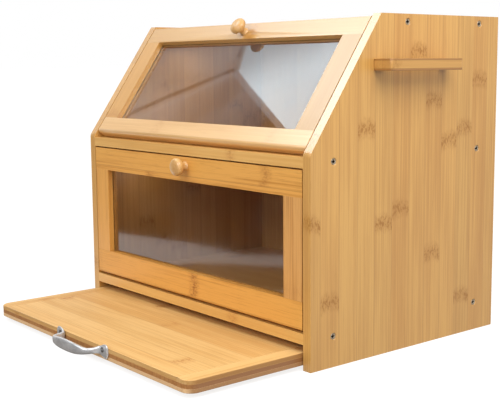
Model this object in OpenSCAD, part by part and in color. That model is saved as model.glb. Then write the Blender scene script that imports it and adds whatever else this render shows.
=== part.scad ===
// Bread bin with a sloping upper door, a drop-down lower door and a slide-out cutting board.
// Millimetres. The origin lies on the standing surface, at the centre of the cabinet's rear face.
// +X is to the right as seen from the front, +Y is to the rear and +Z is up.

/* [Cabinet] */
// Width over the two side panels
bin_w = 380; // [350:5:420]
// Depth from the front edges of the side panels to the rear face
bin_d = 260; // [240:5:300]
// Height of the side panels
bin_h = 322; // [312:2:350]
// Thickness of the side panels, shelves and top
panel_t = 10; // [9:0.5:12]
// Thickness of the back panel
back_t = 8; // [6:0.5:10]
// Height at which the front edges of the side panels start to slope back
knee_h = 197; // [192:1:205]
// How far the slope has gone back at the top of the side panels
slope_run = 88; // [75:1:95]
// How far the top panel lies below the top of the side panels
top_drop = 2.5; // [1:0.5:4]
// How far the knee lies above the middle shelf
knee_rise = 2.5; // [2:0.5:4]
// Height of the lower shelf's underside
lower_shelf_z = 24; // [23:0.5:28]

/* [Doors] */
// Thickness of the door frames
door_t = 10; // [10:0.5:12]
// Gap between a door and each side panel
door_side_gap = 1.2; // [0.8:0.1:2]
// Width of the upright stiles of both doors
stile_w = 25.5; // [24:0.5:30]
// Width of the lower door's top rail
lower_top_rail_w = 25; // [24:0.5:28]
// Width of the lower door's bottom rail
lower_bottom_rail_w = 26.5; // [24:0.5:30]
// Width of the upper door's rails
upper_rail_w = 20; // [20:0.5:22]
// Gap under the lower door
lower_door_lift = 3; // [3:0.5:5]
// Gap over the lower door
lower_door_headroom = 1.5; // [1.5:0.5:3]
// Distance up the slope from the knee to the upper door's bottom edge
upper_door_start = 5; // [5:0.5:7]
// Thickness of the window panes
pane_t = 2; // [1.5:0.5:3]
// Depth of the rebate that takes a pane and its beads
rebate_d = 4; // [4:0.5:5]
// Width of the rebate round a window
rebate_w = 5; // [4:0.5:5]
// Radius of the upper door's bottom front edge and bottom corners
upper_nose_r = 4; // [2:0.5:5]
// Radius of the knees in the side panels' front edges
knee_r = 8; // [2:1:12]

/* [Hardware] */
// Diameter of the pivot pins
pin_d = 4; // [3:0.5:4]
// Height of a pivot pin above its door's bottom edge
pivot_rise = 8; // [7.5:0.5:8]
// Diameter of a knob's head
knob_d = 19; // [16:1:19]
// Height of a knob
knob_h = 15; // [14:0.5:20]
// Distance of the upper knob below the upper door's top edge
upper_knob_drop = 11; // [10:0.5:11]
// Distance of the lower knob below the lower door's top edge
lower_knob_drop = 9.5; // [9.5:0.5:14]
// Distance of the magnet catches to the right of the knobs
catch_x = 50; // [40:5:120]

/* [Cutting board] */
// Thickness of the board, in three equal plies
board_t = 12; // [10.5:0.5:12]
// Length of the board from front to rear
board_l = 244; // [200:2:246]
// Height of the board's underside
board_z = 4.5; // [4:0.5:6]
// Gap between the board and each side panel
board_side_gap = 1; // [0.5:0.1:2]
// How far the board is drawn out
board_out = 127; // [0:1:200]
// Radius of the board's front corners
board_corner_r = 11; // [4:1:20]
// Width of the cross-grain strips at the ends of the board's top ply
end_strip_w = 17.5; // [12:0.5:25]
// Distance between the two screws of the board's pull
pull_spacing = 80; // [64:2:96]
// How far the pull stands out
pull_reach = 20; // [16:1:28]
// How far the pull's centre lies to the right of the board's centre
pull_x = 4.5; // [-10:0.5:10]

/* [Side handle] */
// Length of the handle on the right side panel
handle_l = 100; // [90:2:140]
// Distance that the handle stands out
handle_reach = 22; // [20:1:30]
// Thickness of the handle
handle_t = 11; // [10:0.5:14]
// Height of the handle's middle
handle_z = 275; // [240:1:285]
// Distance from the cabinet's front edge to the handle's middle
handle_y = 128.5; // [120:0.5:160]

/* [Hidden] */

// Facets of round things, and a length that makes a cut run clear of the surface it leaves
$fn = 48;
cut = 1;

// Colours
bamboo = [0.82, 0.62, 0.38];
bamboo_light = [0.88, 0.70, 0.45];
bamboo_dark = [0.60, 0.38, 0.20];
clear_sheet = [0.80, 0.84, 0.86, 0.35];
steel = [0.72, 0.73, 0.75];
zinc = [0.62, 0.64, 0.66];
brown_plastic = [0.35, 0.22, 0.13];

// Levels and inner sizes of the cabinet
inner_half = bin_w / 2 - panel_t;
front_y = -bin_d;
shelf_d = bin_d - back_t;
middle_shelf_top = knee_h - knee_rise;
middle_shelf_z = middle_shelf_top - panel_t;
top_panel_z = bin_h - top_drop - panel_t;
slope_tilt = atan(slope_run / (bin_h - knee_h));

// Doors: half width, heights and window half width, common to both
door_half = inner_half - door_side_gap;
window_half = door_half - stile_w;
lower_door_z = lower_shelf_z + panel_t + lower_door_lift;
lower_door_h = middle_shelf_z - lower_door_headroom - lower_door_z;
upper_door_h = (top_panel_z + panel_t - knee_h) / cos(slope_tilt) - upper_door_start;
upper_top_bevel = door_t * tan(slope_tilt);
lower_nose_r = 0.8;
pivot_depth = door_t / 2;

// Widths of each door's rails, the bottom one first
upper_rails = [upper_rail_w, upper_rail_w];
lower_rails = [lower_bottom_rail_w, lower_top_rail_w];

// Height of the window between the rails of a door of height h
function window_h(h, rails) = h - rails[0] - rails[1];

// Dowels that join rails and stiles
dowel_d = 5;
dowel_l = 18;
dowel_x = window_half + (stile_w + rebate_w) / 2;

// Clearances on the radius: fixed pins and screws, and the doors' running bores
snug = 0.02;
screw_clearance = 0.05;
running = 0.06;

// Gap round a plate or screw head let into the wood, and the room beyond the end of a screw or pin
recess_gap = 0.1;
blind_room = 0.5;
pin_in_panel = 5;
pin_in_door = 8;

// Countersunk wood screws through the side panels: distance from the front, and height
screw_d = 4;
screw_head_d = 7;
screw_l = 34;
screw_places = [
    [124, top_panel_z + panel_t / 2],
    [230, top_panel_z + panel_t / 2],
    [28.3, middle_shelf_z + panel_t / 2],
    [230, middle_shelf_z + panel_t / 2],
    [28.3, lower_shelf_z + panel_t / 2],
    [230, lower_shelf_z + panel_t / 2]
];

// Screws through the back panel into the rear edges of the shelves and top
back_screw_x = 120;
back_screw_d = 3.5;
back_screw_head_d = 6.5;
back_screw_l = 28;
shelf_mid_z = [lower_shelf_z, middle_shelf_z, top_panel_z];

// Magnet catches: housing, magnet and screws
catch_w = 46;
lower_catch_h = 14;
upper_catch_h = 11;
catch_depth = 14;
catch_gap = 0.6;
catch_screw_x = 17;
catch_screw = [2.5, 5];
catch_screw_in_shelf = 5;
magnet_w = 22;
magnet_depth = 9;
magnet_wall = 1.8;
magnet_gap = 0.2;
strike_size = [28, 1.2, 9];
strike_screw_x = 9;
strike_screw = [2.2, 4, 7];

// Knob screws and the counterbore for their heads
knob_screw_d = 4;
knob_screw_head = [7, 2.4];
knob_screw_in_knob = 9;

// Runners under the board
runner_w = 16;
runner_setback = 14;
board_slide_gap = 0.3;
runner_h = board_z - board_slide_gap;
runner_l = shelf_d - runner_setback;

// Board
ply_t = board_t / 3;
board_half = inner_half - board_side_gap;
board_front_y = front_y - board_out;

// Pull on the board: foot plates, bow and screws
foot_t = 2.6;
foot_h = 13.5;
foot_l = 15;
neck_h = 4.8;
bow_mid_h = 11;
bow_half = pull_spacing / 2 - 1;
bow_t = 4;
pull_z = board_z + 8.7;
pull_screw_z = board_z + 2.5 * ply_t;
pull_screw_d = 3;
pull_screw_head_d = 5.4;
pull_screw_l = 22;

// Side handle: width of the legs and of the bar, and the screws through the side panel
handle_leg = 10;
handle_bar = 10;
handle_screw_d = 4;
handle_screw_l = 24;

// ---------- Shared shapes ----------

// Places a door's own frame: X across, Y from the front face inwards, Z up from the bottom edge
module at_lower_door() {
    translate([0, front_y, lower_door_z]) children();
}

module at_upper_door() {
    translate([0, front_y, knee_h])
        rotate([-slope_tilt, 0, 0])
            translate([0, 0, upper_door_start])
                children();
}

// Extrudes an outline drawn in Y and Z along X, centred on X = 0
module along_x(length) {
    rotate([90, 0, 90])
        linear_extrude(length, center = true)
            children();
}

// A countersunk screw along -Z with its flat head at Z = 0 and a cross recess
module countersunk_screw(shank_d, head_d, length) {
    head_h = (head_d - shank_d) / 2;
    point_h = shank_d;
    point_d = 0.6;
    difference() {
        union() {
            translate([0, 0, -head_h]) cylinder(d1 = shank_d, d2 = head_d, h = head_h);
            translate([0, 0, point_h - length]) cylinder(d = shank_d, h = length - point_h - head_h);
            translate([0, 0, -length]) cylinder(d1 = point_d, d2 = shank_d, h = point_h);
        }
        cross_recess(head_d, head_h * 0.7);
    }
}

// The cross recess of a screw head, centred on its face
module cross_recess(head_d, depth) {
    for (turn = [0, 90])
        rotate([0, 0, turn])
            cube([head_d * 0.55, head_d * 0.12, 2 * depth], center = true);
}

// The hole that a countersunk screw sits in
module countersunk_hole(shank_d, head_d, length) {
    head_h = (head_d - shank_d) / 2;
    translate([0, 0, -length]) cylinder(d = shank_d + 2 * screw_clearance, h = length + cut);
    translate([0, 0, -head_h - screw_clearance])
        cylinder(d1 = shank_d + 2 * screw_clearance, d2 = head_d + 4 * screw_clearance, h = head_h);
    translate([0, 0, -screw_clearance]) cylinder(d = head_d + 4 * screw_clearance, h = cut);
}

// The plain bore that a screw's shank sits in, running both ways from the screw's head
module screw_bore(shank_d, length) {
    cylinder(r = shank_d / 2 + screw_clearance, h = 2 * length, center = true);
}

// Turns the screws' -Z to point inwards from the right (side = 1) or left (side = -1) panel
module in_side(side) {
    translate([side * bin_w / 2, 0, 0])
        rotate([0, side * 90, 0])
            children();
}

module at_side_screws(side) {
    for (place = screw_places)
        translate([0, front_y + place[0], place[1]])
            in_side(side)
                children();
}

module at_back_screws() {
    for (x = [-back_screw_x, back_screw_x])
        for (z = shelf_mid_z)
            translate([x, 0, z + panel_t / 2])
                rotate([-90, 0, 0])
                    children();
}

// ---------- Cabinet ----------

// The outline of a side panel seen from the side, with the knee in its front edge rounded
module side_outline() {
    knee_rest = knee_r * tan(slope_tilt / 2);
    polygon([
        [front_y, 0], [0, 0], [0, bin_h], [front_y + slope_run, bin_h],
        [front_y + knee_rest * sin(slope_tilt), knee_h + knee_rest * cos(slope_tilt)],
        [front_y, knee_h - knee_rest]
    ]);
    translate([front_y + knee_r, knee_h - knee_rest]) circle(knee_r);
}

// Side panel with the pivot bores on its inner face
module side_panel(side) {
    difference() {
        translate([side * (inner_half + panel_t / 2), 0, 0]) along_x(panel_t) side_outline();
        at_side_screws(side) countersunk_hole(screw_d, screw_head_d, panel_t + cut);
        at_lower_door() pivot_bore(side, inner_half - cut, inner_half + pin_in_panel, snug);
        at_upper_door() pivot_bore(side, inner_half - cut, inner_half + pin_in_panel, snug);
        if (side > 0) at_handle_screws() countersunk_hole(handle_screw_d, screw_head_d, panel_t + cut);
    }
}

// A bore or pin about a door's pivot axis, between two distances from the middle plane
module pivot_bore(side, from_x, to_x, clearance) {
    translate([side > 0 ? from_x : -to_x, pivot_depth, pivot_rise])
        rotate([0, 90, 0])
            cylinder(r = pin_d / 2 + clearance, h = to_x - from_x);
}

module left_side_panel() {
    color(bamboo) side_panel(-1);
}

module right_side_panel() {
    color(bamboo) side_panel(1);
}

// A board between the side panels, with bores for the side screws and the back screws
module cross_board(z) {
    difference() {
        translate([-inner_half, front_y, z]) cube([2 * inner_half, shelf_d, panel_t]);
        for (side = [-1, 1]) at_side_screws(side) screw_bore(screw_d, screw_l);
        at_back_screws() screw_bore(back_screw_d, back_screw_l);
    }
}

// The top panel's front edge is cut parallel to the upper door's back
module top_panel() {
    behind_door = 1;
    color(bamboo)
        difference() {
            cross_board(top_panel_z);
            at_upper_door()
                translate([-bin_w / 2, -bin_d, 0])
                    cube([bin_w, bin_d + door_t + behind_door, bin_h]);
            at_catch_screws(top_panel_z, upper_catch_y) catch_screw_bore();
        }
}

module middle_shelf() {
    color(bamboo_light)
        difference() {
            cross_board(middle_shelf_z);
            at_catch_screws(middle_shelf_z, lower_catch_y) catch_screw_bore();
        }
}

module lower_shelf() {
    color(bamboo_light) cross_board(lower_shelf_z);
}

module back_panel() {
    color(bamboo)
        difference() {
            translate([-inner_half, -back_t, 0]) cube([2 * inner_half, back_t, top_panel_z + panel_t]);
            at_back_screws() countersunk_hole(back_screw_d, back_screw_head_d, back_t + cut);
        }
}

module runner(side) {
    translate([side > 0 ? inner_half - runner_w : -inner_half, -back_t - runner_l, 0])
        cube([runner_w, runner_l, runner_h]);
}

module left_runner() {
    color(bamboo_light) runner(-1);
}

module right_runner() {
    color(bamboo_light) runner(1);
}

module left_panel_screws() {
    color(steel) at_side_screws(-1) countersunk_screw(screw_d, screw_head_d, screw_l);
}

module right_panel_screws() {
    color(steel) at_side_screws(1) countersunk_screw(screw_d, screw_head_d, screw_l);
}

module back_panel_screws() {
    color(steel) at_back_screws() countersunk_screw(back_screw_d, back_screw_head_d, back_screw_l);
}

module pivot_pins() {
    for (side = [-1, 1])
        pivot_bore(side, door_half - pin_in_door, inner_half + pin_in_panel, 0);
}

module upper_pivot_pins() {
    color(steel) at_upper_door() pivot_pins();
}

module lower_pivot_pins() {
    color(steel) at_lower_door() pivot_pins();
}

// ---------- Side handle ----------

// The handle's screws run outwards from the inner face of the right side panel
module at_handle_screws() {
    for (end = [-1, 1])
        translate([inner_half, front_y + handle_y + end * (handle_l - handle_leg) / 2, handle_z])
            rotate([0, -90, 0])
                children();
}

// A flat bar with a leg at each end, sawn from one thick strip
module side_handle() {
    corner_r = 2.5;
    color(bamboo)
        difference() {
            translate([bin_w / 2, front_y + handle_y - handle_l / 2, handle_z - handle_t / 2])
                linear_extrude(handle_t)
                    difference() {
                        union() {
                            square([handle_reach - corner_r, handle_l]);
                            translate([0, corner_r]) square([handle_reach, handle_l - 2 * corner_r]);
                            for (y = [corner_r, handle_l - corner_r])
                                translate([handle_reach - corner_r, y]) circle(corner_r);
                        }
                        translate([-cut, handle_leg])
                            square([handle_reach - handle_bar + cut, handle_l - 2 * handle_leg]);
                    }
            at_handle_screws() screw_bore(handle_screw_d, handle_screw_l);
        }
}

module side_handle_screws() {
    color(steel) at_handle_screws() countersunk_screw(handle_screw_d, screw_head_d, handle_screw_l);
}

// ---------- Magnet catches ----------

// Depth of a catch's front face behind the front of the door it holds
catch_front = door_t + catch_gap;
lower_catch_y = front_y + catch_front + catch_depth / 2;

// Where the upper catch's sloping front face lies at height z
function upper_catch_front(z) = front_y + (z - knee_h) * tan(slope_tilt) + catch_front / cos(slope_tilt);
upper_catch_y = upper_catch_front(top_panel_z - upper_catch_h / 2) + catch_depth / 2;

module at_catch_screws(z, y) {
    for (end = [-1, 1])
        translate([catch_x + end * catch_screw_x, y, z])
            children();
}

module catch_screw_bore() {
    screw_bore(catch_screw[0], catch_screw_in_shelf + blind_room);
}

// The outline of a catch from the front face backwards, between two heights
module catch_outline(bottom, top, depth, sloping) {
    bottom_y = sloping ? upper_catch_front(bottom) : front_y + catch_front;
    top_y = sloping ? upper_catch_front(top) : front_y + catch_front;
    polygon([[bottom_y, bottom], [bottom_y + depth, bottom], [top_y + depth, top], [top_y, top]]);
}

module catch_housing(top, height, y, sloping) {
    difference() {
        translate([catch_x, 0, 0])
            along_x(catch_w)
                catch_outline(top - height, top, catch_depth, sloping);
        translate([catch_x, 0, 0])
            along_x(magnet_w + 2 * magnet_gap)
                translate([-cut, 0])
                    catch_outline(
                        top - height + magnet_wall, top - magnet_wall,
                        magnet_depth + cut + magnet_gap, sloping
                    );
        at_catch_screws(top - height, y)
            rotate([180, 0, 0])
                countersunk_hole(catch_screw[0], catch_screw[1], height + cut);
    }
}

module catch_magnet(top, height, sloping) {
    inset = magnet_wall + magnet_gap;
    translate([catch_x, 0, 0])
        along_x(magnet_w)
            translate([magnet_gap, 0])
                catch_outline(top - height + inset, top - inset, magnet_depth - magnet_gap, sloping);
}

module catch_screws(top, height, y) {
    at_catch_screws(top - height, y)
        rotate([180, 0, 0])
            countersunk_screw(catch_screw[0], catch_screw[1], height + catch_screw_in_shelf);
}

module upper_catch_housing() {
    color(brown_plastic) catch_housing(top_panel_z, upper_catch_h, upper_catch_y, true);
}

module upper_catch_magnet() {
    color(steel) catch_magnet(top_panel_z, upper_catch_h, true);
}

module upper_catch_screws() {
    color(steel) catch_screws(top_panel_z, upper_catch_h, upper_catch_y);
}

module lower_catch_housing() {
    color(brown_plastic) catch_housing(middle_shelf_z, lower_catch_h, lower_catch_y, false);
}

module lower_catch_magnet() {
    color(steel) catch_magnet(middle_shelf_z, lower_catch_h, false);
}

module lower_catch_screws() {
    color(steel) catch_screws(middle_shelf_z, lower_catch_h, lower_catch_y);
}

// ---------- Door frames ----------

// Cuts common to every frame piece of a door of height h: rebate round the window and dowel bores
module frame_cuts(h, rails) {
    translate([-window_half - rebate_w, door_t - rebate_d, rails[0] - rebate_w])
        cube([2 * (window_half + rebate_w), rebate_d + cut, window_h(h, rails) + 2 * rebate_w]);
    dowels(h, rails, screw_clearance);
}

// The dowels, or with some extra size the bores that they sit in
module dowels(h, rails, extra) {
    for (x = [-dowel_x, dowel_x])
        for (z = [rails[0], h - rails[1]])
            translate([x, door_t / 2, z])
                cylinder(r = dowel_d / 2 + extra, h = dowel_l + 2 * extra, center = true);
}

// The bottom rail's front edge and its two bottom corners are rounded to the radius nose_r
module door_bottom_rail(h, rails, nose_r) {
    difference() {
        intersection() {
            along_x(2 * door_half) {
                translate([0, nose_r]) square([door_t, rails[0] - nose_r]);
                translate([nose_r, 0]) square([door_t - nose_r, rails[0]]);
                translate([nose_r, nose_r]) circle(nose_r);
            }
            translate([0, door_t, 0])
                rotate([90, 0, 0])
                    linear_extrude(door_t) {
                        translate([-door_half, nose_r]) square([2 * door_half, rails[0] - nose_r]);
                        translate([nose_r - door_half, 0]) square([2 * (door_half - nose_r), rails[0]]);
                        for (side = [-1, 1]) translate([side * (door_half - nose_r), nose_r]) circle(nose_r);
                    }
        }
        frame_cuts(h, rails);
        for (side = [-1, 1]) pivot_bore(side, door_half - pin_in_door - blind_room, door_half + cut, running);
    }
}

// The bevel raises the rail's back edge so that a sloping door ends level with the top panel
module door_top_rail(h, rails, knob_drop, bevel) {
    difference() {
        along_x(2 * door_half)
            polygon([[0, h - rails[1]], [door_t, h - rails[1]], [door_t, h + bevel], [0, h]]);
        frame_cuts(h, rails);
        translate([0, 0, h - knob_drop])
            rotate([-90, 0, 0]) {
                screw_bore(knob_screw_d, door_t + cut);
                translate([0, 0, door_t - knob_screw_head[1] - recess_gap])
                    cylinder(d = knob_screw_head[0] + 4 * recess_gap, h = door_t);
            }
        at_strike(h, rails) {
            translate([0, cut / 2 - recess_gap, 0])
                cube(strike_size + [4 * recess_gap, cut, 4 * recess_gap], center = true);
            at_strike_screws()
                countersunk_hole(strike_screw[0], strike_screw[1], strike_screw[2] + blind_room);
        }
    }
}

module door_stile(side, h, rails) {
    difference() {
        translate([side > 0 ? window_half : -door_half, 0, rails[0]])
            cube([stile_w, door_t, window_h(h, rails)]);
        frame_cuts(h, rails);
    }
}

module door_pane(h, rails) {
    fit = 0.5;
    past_window = rebate_w - fit;
    translate([-window_half - past_window, door_t - rebate_d, rails[0] - past_window])
        cube([2 * (window_half + past_window), pane_t, window_h(h, rails) + 2 * past_window]);
}

// Four strips behind the pane, with the upright ones between the level ones
module door_beads(h, rails) {
    fit = 0.2;
    bead_w = rebate_w - fit;
    bead_t = rebate_d - pane_t - fit;
    bead_y = door_t - bead_t;
    long = 2 * (window_half + bead_w);
    for (z = [rails[0] - bead_w, h - rails[1]])
        translate([-long / 2, bead_y, z]) cube([long, bead_t, bead_w]);
    for (x = [-window_half - bead_w, window_half])
        translate([x, bead_y, rails[0] + fit / 2]) cube([bead_w, bead_t, window_h(h, rails) - fit]);
}

// Outline of a knob, from the door's face outwards: a slightly flared neck and a domed head
function knob_outline() =
    let (
        head_r = knob_d / 2,
        half_head = knob_h * 0.3,
        head_mid = knob_h - half_head,
        neck_r = head_r * 0.44
    )
    concat(
        [[0, 0], [neck_r * 1.25, 0], [neck_r * 1.06, 1.2], [neck_r, 3]],
        [for (a = [-60:7.5:90]) [head_r * cos(a), head_mid + half_head * sin(a)]]
    );

// Places a knob's own frame on the door's face: Z outwards, from a distance below the top edge
module at_knob(h, knob_drop) {
    translate([0, 0, h - knob_drop]) rotate([90, 0, 0]) children();
}

module door_knob(h, knob_drop) {
    at_knob(h, knob_drop)
        difference() {
            rotate_extrude() polygon(knob_outline());
            screw_bore(knob_screw_d, knob_screw_in_knob + blind_room);
        }
}

// The knob's screw has its head in the back of the rail
module knob_screw(h, knob_drop) {
    shank_in_rail = door_t - knob_screw_head[1] / 2;
    at_knob(h, knob_drop)
        difference() {
            union() {
                translate([0, 0, -door_t]) cylinder(d = knob_screw_head[0], h = knob_screw_head[1]);
                translate([0, 0, -shank_in_rail])
                    cylinder(d = knob_screw_d, h = shank_in_rail + knob_screw_in_knob);
            }
            translate([0, 0, -door_t]) cross_recess(knob_screw_head[0], knob_screw_head[1] / 2);
        }
}

// The strike plate lies flush in the back of the top rail, clear of the rebate
module at_strike(h, rails) {
    translate([catch_x, door_t - strike_size[1] / 2, h - (rails[1] - rebate_w) / 2]) children();
}

module at_strike_screws() {
    for (end = [-1, 1])
        translate([end * strike_screw_x, strike_size[1] / 2, 0])
            rotate([-90, 0, 0])
                children();
}

module strike_plate(h, rails) {
    at_strike(h, rails)
        difference() {
            cube(strike_size, center = true);
            at_strike_screws() countersunk_hole(strike_screw[0], strike_screw[1], strike_screw[2]);
        }
}

module strike_screws(h, rails) {
    at_strike(h, rails)
        at_strike_screws()
            countersunk_screw(strike_screw[0], strike_screw[1], strike_screw[2]);
}

// ---------- Upper door ----------

module upper_door_top_rail() {
    color(bamboo_light)
        at_upper_door()
            door_top_rail(upper_door_h, upper_rails, upper_knob_drop, upper_top_bevel);
}

module upper_door_bottom_rail() {
    color(bamboo_light) at_upper_door() door_bottom_rail(upper_door_h, upper_rails, upper_nose_r);
}

module upper_door_left_stile() {
    color(bamboo_light) at_upper_door() door_stile(-1, upper_door_h, upper_rails);
}

module upper_door_right_stile() {
    color(bamboo_light) at_upper_door() door_stile(1, upper_door_h, upper_rails);
}

module upper_door_dowels() {
    color(bamboo_dark) at_upper_door() dowels(upper_door_h, upper_rails, 0);
}

module upper_door_pane() {
    color(clear_sheet) at_upper_door() door_pane(upper_door_h, upper_rails);
}

module upper_door_beads() {
    color(bamboo) at_upper_door() door_beads(upper_door_h, upper_rails);
}

module upper_door_knob() {
    color(bamboo) at_upper_door() door_knob(upper_door_h, upper_knob_drop);
}

module upper_knob_screw() {
    color(steel) at_upper_door() knob_screw(upper_door_h, upper_knob_drop);
}

module upper_strike_plate() {
    color(steel) at_upper_door() strike_plate(upper_door_h, upper_rails);
}

module upper_strike_screws() {
    color(steel) at_upper_door() strike_screws(upper_door_h, upper_rails);
}

// ---------- Lower door ----------

module lower_door_top_rail() {
    color(bamboo) at_lower_door() door_top_rail(lower_door_h, lower_rails, lower_knob_drop, 0);
}

module lower_door_bottom_rail() {
    color(bamboo) at_lower_door() door_bottom_rail(lower_door_h, lower_rails, lower_nose_r);
}

module lower_door_left_stile() {
    color(bamboo) at_lower_door() door_stile(-1, lower_door_h, lower_rails);
}

module lower_door_right_stile() {
    color(bamboo) at_lower_door() door_stile(1, lower_door_h, lower_rails);
}

module lower_door_dowels() {
    color(bamboo_dark) at_lower_door() dowels(lower_door_h, lower_rails, 0);
}

module lower_door_pane() {
    color(clear_sheet) at_lower_door() door_pane(lower_door_h, lower_rails);
}

module lower_door_beads() {
    color(bamboo) at_lower_door() door_beads(lower_door_h, lower_rails);
}

module lower_door_knob() {
    color(bamboo) at_lower_door() door_knob(lower_door_h, lower_knob_drop);
}

module lower_knob_screw() {
    color(steel) at_lower_door() knob_screw(lower_door_h, lower_knob_drop);
}

module lower_strike_plate() {
    color(steel) at_lower_door() strike_plate(lower_door_h, lower_rails);
}

module lower_strike_screws() {
    color(steel) at_lower_door() strike_screws(lower_door_h, lower_rails);
}

// ---------- Cutting board ----------

// One ply of the board with its rounded front corners, from ply number 0 at the bottom
module board_ply(number) {
    translate([0, board_front_y, board_z + number * ply_t])
        linear_extrude(ply_t)
            union() {
                translate([-board_half, board_corner_r])
                    square([2 * board_half, board_l - board_corner_r]);
                translate([-board_half + board_corner_r, 0])
                    square([2 * (board_half - board_corner_r), board_corner_r + cut]);
                for (side = [-1, 1])
                    translate([side * (board_half - board_corner_r), board_corner_r])
                        circle(board_corner_r);
            }
}

// The part of the top ply between the two cross-grain end strips
module between_end_strips() {
    translate([-board_half + end_strip_w, board_front_y - cut, 0])
        cube([2 * (board_half - end_strip_w), board_l + 2 * cut, board_z + board_t + cut]);
}

module at_pull_screws() {
    for (end = [-1, 1])
        translate([pull_x + end * pull_spacing / 2, board_front_y - foot_t, pull_screw_z])
            rotate([90, 0, 0])
                children();
}

module board_top_ply() {
    color(bamboo_light)
        difference() {
            intersection() {
                board_ply(2);
                between_end_strips();
            }
            at_pull_screws() screw_bore(pull_screw_d, pull_screw_l);
        }
}

module board_end_strips() {
    color(bamboo_light)
        difference() {
            board_ply(2);
            between_end_strips();
        }
}

module board_core_ply() {
    color(bamboo_dark) board_ply(1);
}

module board_bottom_ply() {
    color(bamboo_light) board_ply(0);
}

// How far the bow stands out at a distance t from the middle, where t = 1 is its end
function bow_out(t, reach) = reach * pow(1 - pow(abs(t), 4), 0.6);
function bow_height(t) = neck_h + (bow_mid_h - neck_h) * (1 + cos(180 * min(1, abs(t)))) / 2;

// Height of a foot plate at a share t of its length from the neck
function foot_height(t) = neck_h + (foot_h - neck_h) * pow(t, 1.4);

// Plan of the bow: an outer arch and, bow_t inside it, an inner one
module bow_plan() {
    steps = [-1:0.04:1];
    polygon(concat(
        [for (t = steps) [t * bow_half, -bow_out(t, pull_reach)]],
        [for (t = steps) [-t * (bow_half - bow_t), -bow_out(t, pull_reach - bow_t)]]
    ));
}

// Front view of the bow: narrow at the feet and wide in the middle
module bow_front() {
    steps = [-1:0.04:1];
    polygon(concat(
        [for (t = steps) [t * (bow_half + cut), -bow_height(t) / 2]],
        [for (t = steps) [-t * (bow_half + cut), bow_height(t) / 2]]
    ));
}

// Front view of a foot: it fans out from the neck to an outer edge with rounded corners
module foot_front() {
    inner = (pull_spacing - foot_l) / 2;
    bulge = 4;
    flare_l = foot_l - bulge;
    square_off = 0.7;
    polygon(concat(
        [for (t = [0:0.125:0.875]) [inner + flare_l * t, -foot_height(t) / 2]],
        [for (a = [-90:15:90]) [
            inner + flare_l + bulge * pow(abs(cos(a)), square_off),
            sign(a) * foot_h / 2 * pow(abs(sin(a)), square_off)
        ]],
        [for (t = [0.875:-0.125:0]) [inner + flare_l * t, foot_height(t) / 2]]
    ));
}

module board_pull() {
    color(zinc)
        difference() {
            translate([pull_x, board_front_y, pull_z]) {
                intersection() {
                    linear_extrude(foot_h, center = true) bow_plan();
                    translate([0, cut, 0])
                        rotate([90, 0, 0])
                            linear_extrude(pull_reach + 2 * cut)
                                bow_front();
                }
                for (side = [0, 1])
                    mirror([side, 0, 0])
                        rotate([90, 0, 0])
                            linear_extrude(foot_t)
                                foot_front();
            }
            at_pull_screws() countersunk_hole(pull_screw_d, pull_screw_head_d, pull_screw_l);
        }
}

module board_pull_screws() {
    color(zinc) at_pull_screws() countersunk_screw(pull_screw_d, pull_screw_head_d, pull_screw_l);
}

// ---------- Nodes ----------

left_side_panel();
right_side_panel();
top_panel();
middle_shelf();
lower_shelf();
back_panel();
left_runner();
right_runner();
left_panel_screws();
right_panel_screws();
back_panel_screws();
side_handle();
side_handle_screws();
upper_pivot_pins();
lower_pivot_pins();
upper_catch_housing();
upper_catch_magnet();
upper_catch_screws();
lower_catch_housing();
lower_catch_magnet();
lower_catch_screws();
upper_door_top_rail();
upper_door_bottom_rail();
upper_door_left_stile();
upper_door_right_stile();
upper_door_dowels();
upper_door_pane();
upper_door_beads();
upper_door_knob();
upper_knob_screw();
upper_strike_plate();
upper_strike_screws();
lower_door_top_rail();
lower_door_bottom_rail();
lower_door_left_stile();
lower_door_right_stile();
lower_door_dowels();
lower_door_pane();
lower_door_beads();
lower_door_knob();
lower_knob_screw();
lower_strike_plate();
lower_strike_screws();
board_top_ply();
board_end_strips();
board_core_ply();
board_bottom_ply();
board_pull();
board_pull_screws();
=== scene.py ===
"""The bread bin's looks: bamboo, clear panes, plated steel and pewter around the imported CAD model."""

import math

import bmesh
import bpy
from mathutils import Matrix, Vector


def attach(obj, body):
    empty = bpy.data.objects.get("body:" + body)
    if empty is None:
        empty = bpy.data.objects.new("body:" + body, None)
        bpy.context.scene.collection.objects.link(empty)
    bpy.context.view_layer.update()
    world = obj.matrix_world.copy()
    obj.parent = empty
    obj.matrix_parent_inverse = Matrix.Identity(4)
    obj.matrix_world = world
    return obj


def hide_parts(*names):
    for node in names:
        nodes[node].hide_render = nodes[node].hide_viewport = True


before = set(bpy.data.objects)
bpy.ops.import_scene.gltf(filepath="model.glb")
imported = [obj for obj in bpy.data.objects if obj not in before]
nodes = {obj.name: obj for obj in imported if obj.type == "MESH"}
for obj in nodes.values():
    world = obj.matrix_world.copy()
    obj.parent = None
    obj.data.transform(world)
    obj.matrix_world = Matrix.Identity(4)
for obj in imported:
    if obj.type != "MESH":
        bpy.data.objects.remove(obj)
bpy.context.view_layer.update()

MM = 0.001

# Sizes in mm, as in the CAD model. X runs to the right from the middle, Y to the back and ends at the rear
# face, and Z up from the floor. The slope starts at the knee in the side panels' front edges.
FRONT = -260
KNEE_HEIGHT = 197
SLOPE_RUN = 88
SLOPE_RISE = 125
PANEL_FACE = 190
STILE_WIDTH = 25.5
STILE_EDGE = 153.3
BOARD_HALF = 179
BOARD_FRONT = -387
BOARD_REAR = -143
BOARD_CORNER = 11
BOARD_BASE = 4.5
PLY = 4
END_STRIP = 17.5
PULL_X = 4.5
PULL_HEIGHT = 13.2

# The middles of the knobs: up the slope from the knee for the upper one, above the floor for the lower one
UPPER_KNOB = 138.8
LOWER_KNOB = 173.5

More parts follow.
